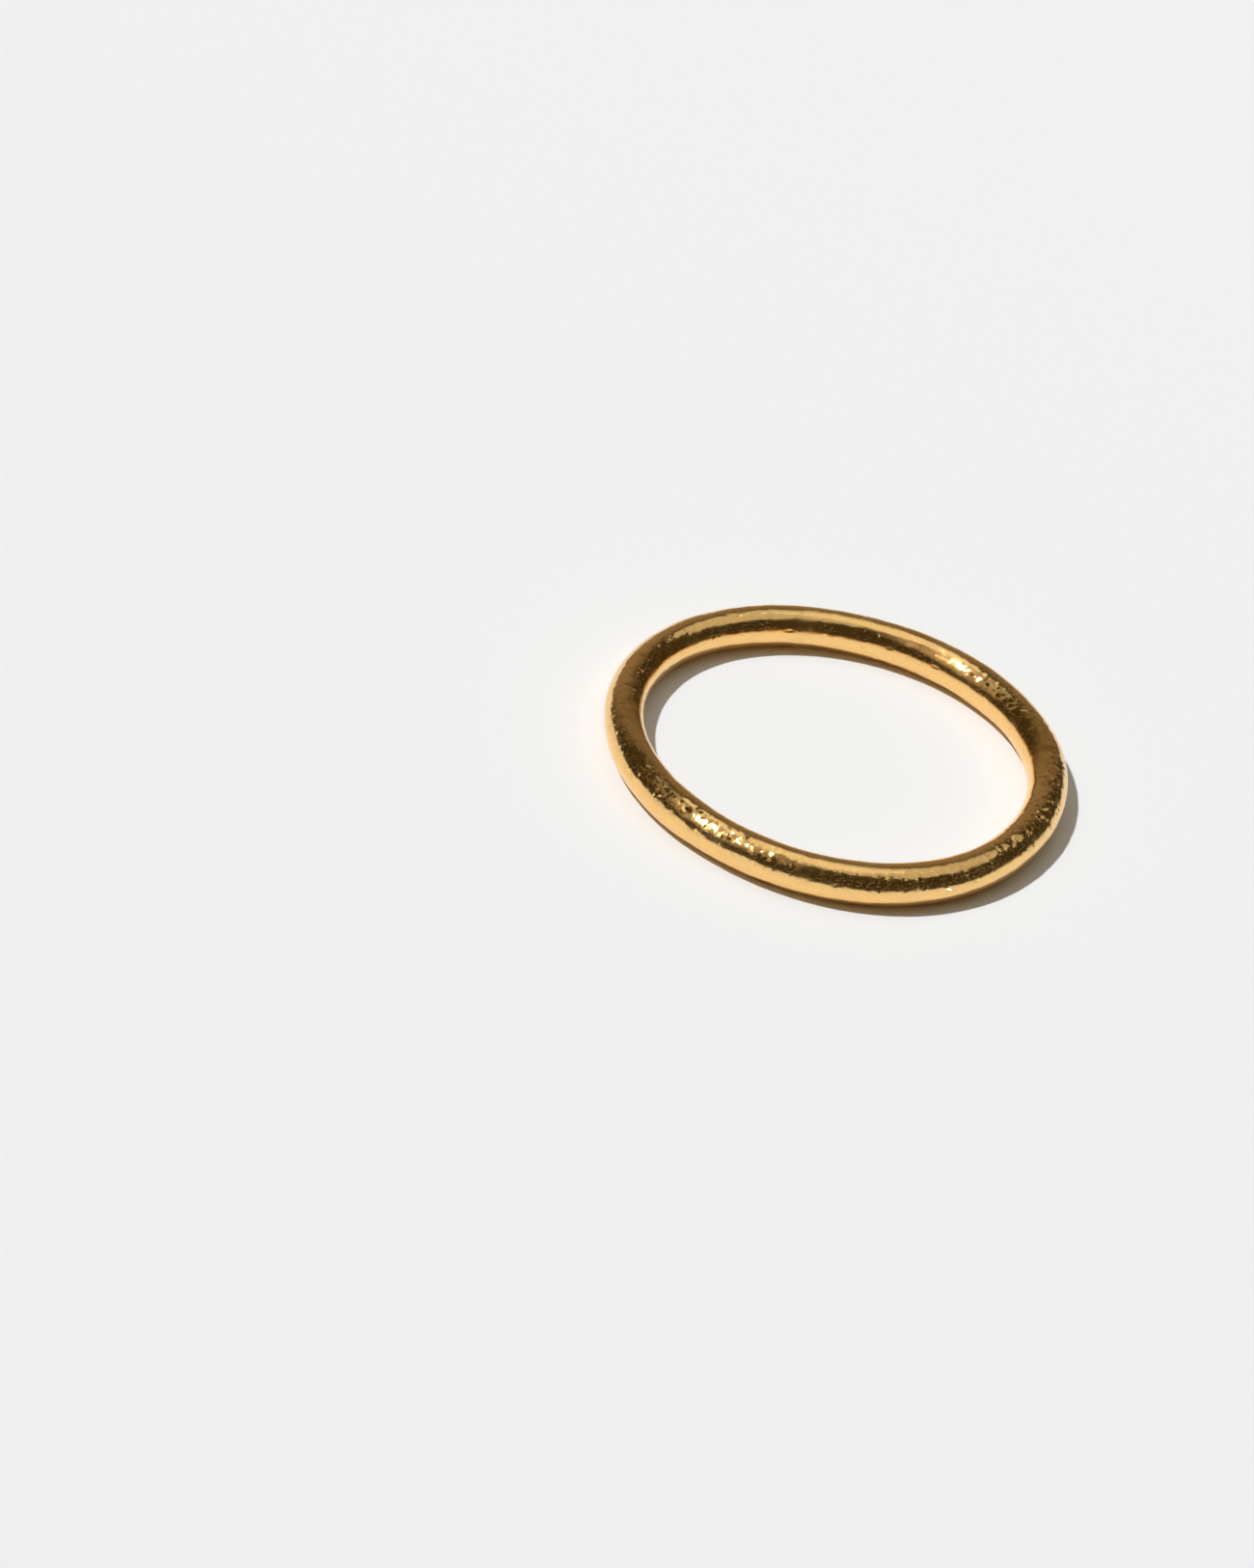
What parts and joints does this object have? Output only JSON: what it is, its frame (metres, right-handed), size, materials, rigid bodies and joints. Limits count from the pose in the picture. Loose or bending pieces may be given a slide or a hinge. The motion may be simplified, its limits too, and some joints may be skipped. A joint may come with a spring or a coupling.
{
  "type": "stackable ring",
  "caption": "Plain stackable finger ring: one closed, hand-rounded band of polished gold wire, nearly round in section and level on both sides so that rings stack.",
  "frame": {"origin": "middle of the finger hole, on the plane that the ring lies on when it lies on its side", "axes": "+Z along the finger axis, up as the ring lies; +X and +Y across the finger hole, +Y away from the front"},
  "size_m": [0.0208, 0.0208, 0.0019],
  "materials": {
    "gold": "polished gold plate with fine pits and wear"
  },
  "bodies": {
    "root": {"ring": "gold"}
  },
  "joints": []
}
